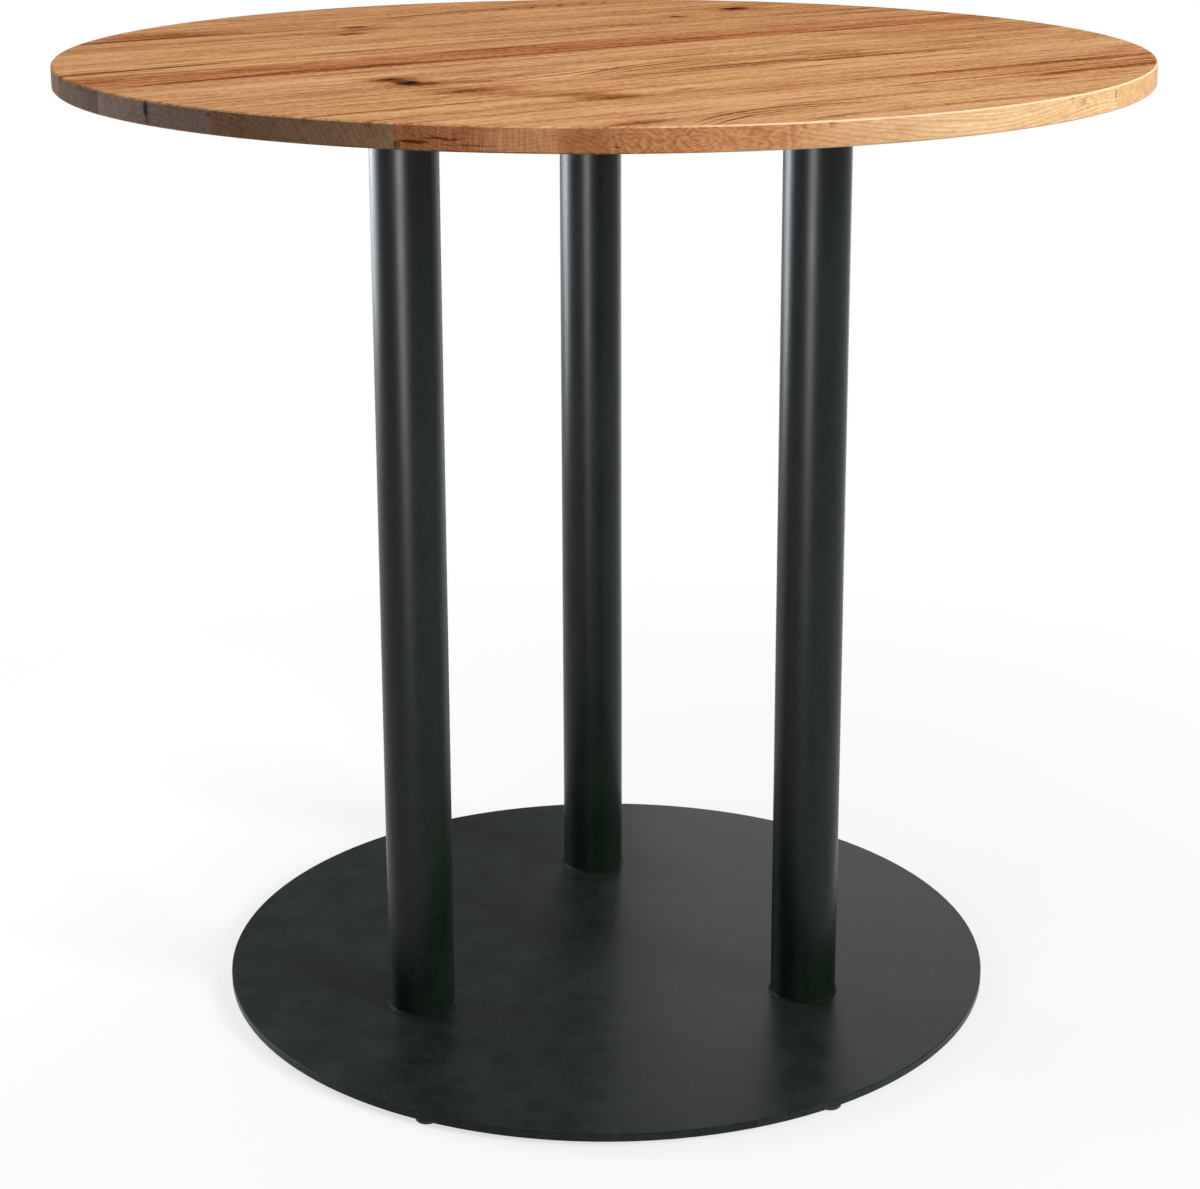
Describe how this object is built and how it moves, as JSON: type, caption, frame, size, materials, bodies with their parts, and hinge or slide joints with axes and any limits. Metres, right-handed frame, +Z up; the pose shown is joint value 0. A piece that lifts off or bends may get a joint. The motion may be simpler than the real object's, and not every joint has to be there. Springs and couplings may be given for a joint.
{
  "type": "pub table",
  "caption": "Round bar-height table: an edge-glued timber top on slim steel columns welded to a flat round base plate with levelling glides.",
  "frame": {"origin": "on the floor, at the centre of the round base and top", "axes": "+Z up; one of the three columns stands on the +Y axis, and -Y is the side that the table is seen from"},
  "size_m": [1.22, 1.2199, 1.1115],
  "materials": {
    "oak_board": "honey-brown hardwood boards under a satin clear lacquer",
    "black_powder_coat": "satin black powder coat, slightly warm green-grey where it catches light",
    "zinc_steel": "bright zinc-plated steel",
    "insert_brass": "plain turned brass",
    "glide_nylon": "black moulded nylon, matt"
  },
  "bodies": {
    "root": {"top_board_01": "oak_board", "top_board_02": "oak_board", "top_board_03": "oak_board", "top_board_04": "oak_board", "top_board_05": "oak_board", "top_board_06": "oak_board", "top_board_07": "oak_board", "top_board_08": "oak_board", "top_board_09": "oak_board", "top_board_10": "oak_board", "top_board_11": "oak_board", "base_plate": "black_powder_coat", "top_spider": "black_powder_coat", "column_tube_1": "black_powder_coat", "column_foot_weld_1": "black_powder_coat", "column_head_weld_1": "black_powder_coat", "column_tube_2": "black_powder_coat", "column_foot_weld_2": "black_powder_coat", "column_head_weld_2": "black_powder_coat", "column_tube_3": "black_powder_coat", "column_foot_weld_3": "black_powder_coat", "column_head_weld_3": "black_powder_coat", "top_screws": "zinc_steel", "top_washers": "zinc_steel", "top_inserts": "insert_brass"},
    "glide_1": {"glide_pad_1": "glide_nylon"},
    "glide_screw_1": {"glide_stud_1": "zinc_steel"},
    "glide_2": {"glide_pad_2": "glide_nylon"},
    "glide_screw_2": {"glide_stud_2": "zinc_steel"},
    "glide_3": {"glide_pad_3": "glide_nylon"},
    "glide_screw_3": {"glide_stud_3": "zinc_steel"},
    "glide_4": {"glide_pad_4": "glide_nylon"},
    "glide_screw_4": {"glide_stud_4": "zinc_steel"},
    "glide_5": {"glide_pad_5": "glide_nylon"},
    "glide_screw_5": {"glide_stud_5": "zinc_steel"},
    "glide_6": {"glide_pad_6": "glide_nylon"},
    "glide_screw_6": {"glide_stud_6": "zinc_steel"}
  },
  "joints": [
    {"name": "glide_1_height", "type": "slide", "parent": "root", "child": "glide_1", "axis": [0, 0, 1], "range_m": [-0.0025, 0]},
    {"name": "glide_1_turn", "type": "hinge", "parent": "glide_1", "child": "glide_screw_1", "pos_m": [0.441, 0, 0.006], "axis": [0, 0, 1], "range_deg": [-720, 0]},
    {"name": "glide_2_height", "type": "slide", "parent": "root", "child": "glide_2", "axis": [0, 0, 1], "range_m": [-0.0025, 0]},
    {"name": "glide_2_turn", "type": "hinge", "parent": "glide_2", "child": "glide_screw_2", "pos_m": [0.2205, 0.38192, 0.006], "axis": [0, 0, 1], "range_deg": [-720, 0]},
    {"name": "glide_3_height", "type": "slide", "parent": "root", "child": "glide_3", "axis": [0, 0, 1], "range_m": [-0.0025, 0]},
    {"name": "glide_3_turn", "type": "hinge", "parent": "glide_3", "child": "glide_screw_3", "pos_m": [-0.2205, 0.38192, 0.006], "axis": [0, 0, 1], "range_deg": [-720, 0]},
    {"name": "glide_4_height", "type": "slide", "parent": "root", "child": "glide_4", "axis": [0, 0, 1], "range_m": [-0.0025, 0]},
    {"name": "glide_4_turn", "type": "hinge", "parent": "glide_4", "child": "glide_screw_4", "pos_m": [-0.441, 0, 0.006], "axis": [0, 0, 1], "range_deg": [-720, 0]},
    {"name": "glide_5_height", "type": "slide", "parent": "root", "child": "glide_5", "axis": [0, 0, 1], "range_m": [-0.0025, 0]},
    {"name": "glide_5_turn", "type": "hinge", "parent": "glide_5", "child": "glide_screw_5", "pos_m": [-0.2205, -0.38192, 0.006], "axis": [0, 0, 1], "range_deg": [-720, 0]},
    {"name": "glide_6_height", "type": "slide", "parent": "root", "child": "glide_6", "axis": [0, 0, 1], "range_m": [-0.0025, 0]},
    {"name": "glide_6_turn", "type": "hinge", "parent": "glide_6", "child": "glide_screw_6", "pos_m": [0.2205, -0.38192, 0.006], "axis": [0, 0, 1], "range_deg": [-720, 0]}
  ],
  "couplings": [
    {"joint": "glide_1_height", "follows": "glide_1_turn", "m_per_rad": 0.00019894},
    {"joint": "glide_2_height", "follows": "glide_2_turn", "m_per_rad": 0.00019894},
    {"joint": "glide_3_height", "follows": "glide_3_turn", "m_per_rad": 0.00019894},
    {"joint": "glide_4_height", "follows": "glide_4_turn", "m_per_rad": 0.00019894},
    {"joint": "glide_5_height", "follows": "glide_5_turn", "m_per_rad": 0.00019894},
    {"joint": "glide_6_height", "follows": "glide_6_turn", "m_per_rad": 0.00019894}
  ]
}
